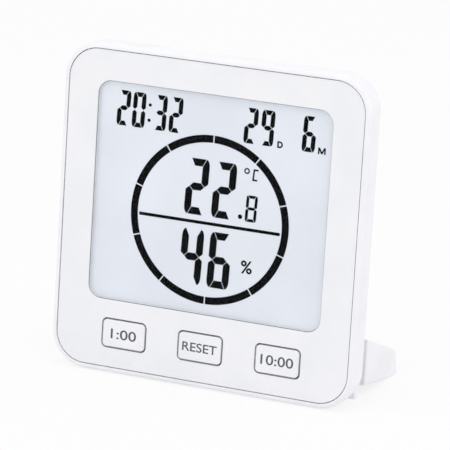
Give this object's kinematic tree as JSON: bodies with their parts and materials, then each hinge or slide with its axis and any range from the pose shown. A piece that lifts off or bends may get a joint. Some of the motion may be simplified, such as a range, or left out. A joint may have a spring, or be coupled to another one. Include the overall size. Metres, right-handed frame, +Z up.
{
  "type": "desk thermo-hygrometer",
  "caption": "Desk thermo-hygrometer with clock and timer keys: glass display in a rounded square case, battery bay, and a wedge stand that folds up against the back.",
  "frame": {"origin": "middle of the ground that the device covers, with the stand down", "axes": "+Z up, the display faces -Y, +X to the viewer's right"},
  "size_m": [0.083, 0.0406, 0.0846],
  "materials": {
    "white_shell": "fine satin moulded ABS",
    "face_plate": "smooth pale grey ABS plate",
    "clear_lens": "clear acrylic",
    "display_glass": "soda-lime display glass",
    "display_film": "polariser and reflector film",
    "holder_plastic": "black moulded ABS",
    "conductive_rubber": "silicone strip with carbon layers",
    "board": "glass-epoxy board with green solder mask",
    "resin": "black potting resin",
    "switch_housing": "black switch housing",
    "crystal_can": "drawn metal can",
    "sensor_housing": "moulded sensor package",
    "key_plastic": "smooth pale ABS key",
    "rear_key_rubber": "grey silicone key",
    "cell_jacket": "printed cell jacket",
    "nickel": "nickel-plated spring steel",
    "screw_steel": "zinc-plated steel"
  },
  "bodies": {
    "housing": {"front_frame": "white_shell", "front_plate": "face_plate", "display_window": "clear_lens", "front_polariser": "display_film", "lcd_front_glass": "display_glass", "lcd_rear_glass": "display_glass", "rear_reflector": "display_film", "lcd_holder": "holder_plastic", "zebra_strips": "conductive_rubber", "circuit_board": "board", "front_switches": "switch_housing", "rear_switches": "switch_housing", "buzzer": "resin", "controller_blob": "resin", "temperature_sensor": "resin", "quartz_crystal": "crystal_can", "humidity_sensor": "sensor_housing", "rear_cover": "white_shell", "upper_cell": "cell_jacket", "lower_cell": "cell_jacket", "battery_contacts": "nickel", "link_contact": "nickel", "battery_springs": "nickel", "housing_screws": "screw_steel", "board_screws": "screw_steel", "stand_pins": "screw_steel"},
    "minute_button": {"minute_key": "key_plastic", "minute_plunger": "switch_housing"},
    "clear_button": {"clear_key": "key_plastic", "clear_plunger": "switch_housing"},
    "tens_button": {"tens_key": "key_plastic", "tens_plunger": "switch_housing"},
    "set_button": {"set_key": "rear_key_rubber", "set_plunger": "switch_housing"},
    "up_button": {"up_key": "rear_key_rubber", "up_plunger": "switch_housing"},
    "down_button": {"down_key": "rear_key_rubber", "down_plunger": "switch_housing"},
    "door": {"battery_door": "white_shell"},
    "stand_leg": {"stand": "white_shell"}
  },
  "joints": [
    {"name": "minute_press", "type": "slide", "parent": "housing", "child": "minute_button", "axis": [0, 0.9994, -0.0349], "range_m": [0, 0.0005], "stiffness_N_per_m": 2000, "springref_m": -0.0002},
    {"name": "clear_press", "type": "slide", "parent": "housing", "child": "clear_button", "axis": [0, 0.9994, -0.0349], "range_m": [0, 0.0005], "stiffness_N_per_m": 2000, "springref_m": -0.0002},
    {"name": "tens_press", "type": "slide", "parent": "housing", "child": "tens_button", "axis": [0, 0.9994, -0.0349], "range_m": [0, 0.0005], "stiffness_N_per_m": 2000, "springref_m": -0.0002},
    {"name": "set_press", "type": "slide", "parent": "housing", "child": "set_button", "axis": [0, -0.9994, 0.0349], "range_m": [0, 0.0002], "stiffness_N_per_m": 4000, "springref_m": -0.0001},
    {"name": "up_press", "type": "slide", "parent": "housing", "child": "up_button", "axis": [0, -0.9994, 0.0349], "range_m": [0, 0.0002], "stiffness_N_per_m": 4000, "springref_m": -0.0001},
    {"name": "down_press", "type": "slide", "parent": "housing", "child": "down_button", "axis": [0, -0.9994, 0.0349], "range_m": [0, 0.0002], "stiffness_N_per_m": 4000, "springref_m": -0.0001},
    {"name": "door_slide", "type": "slide", "parent": "housing", "child": "door", "axis": [-1, 0, 0], "range_m": [0, 0.032]},
    {"name": "stand_fold", "type": "hinge", "parent": "housing", "child": "stand_leg", "pos_m": [0, -0.0032, 0.00568], "axis": [1, 0, 0], "range_deg": [0, 95]}
  ]
}
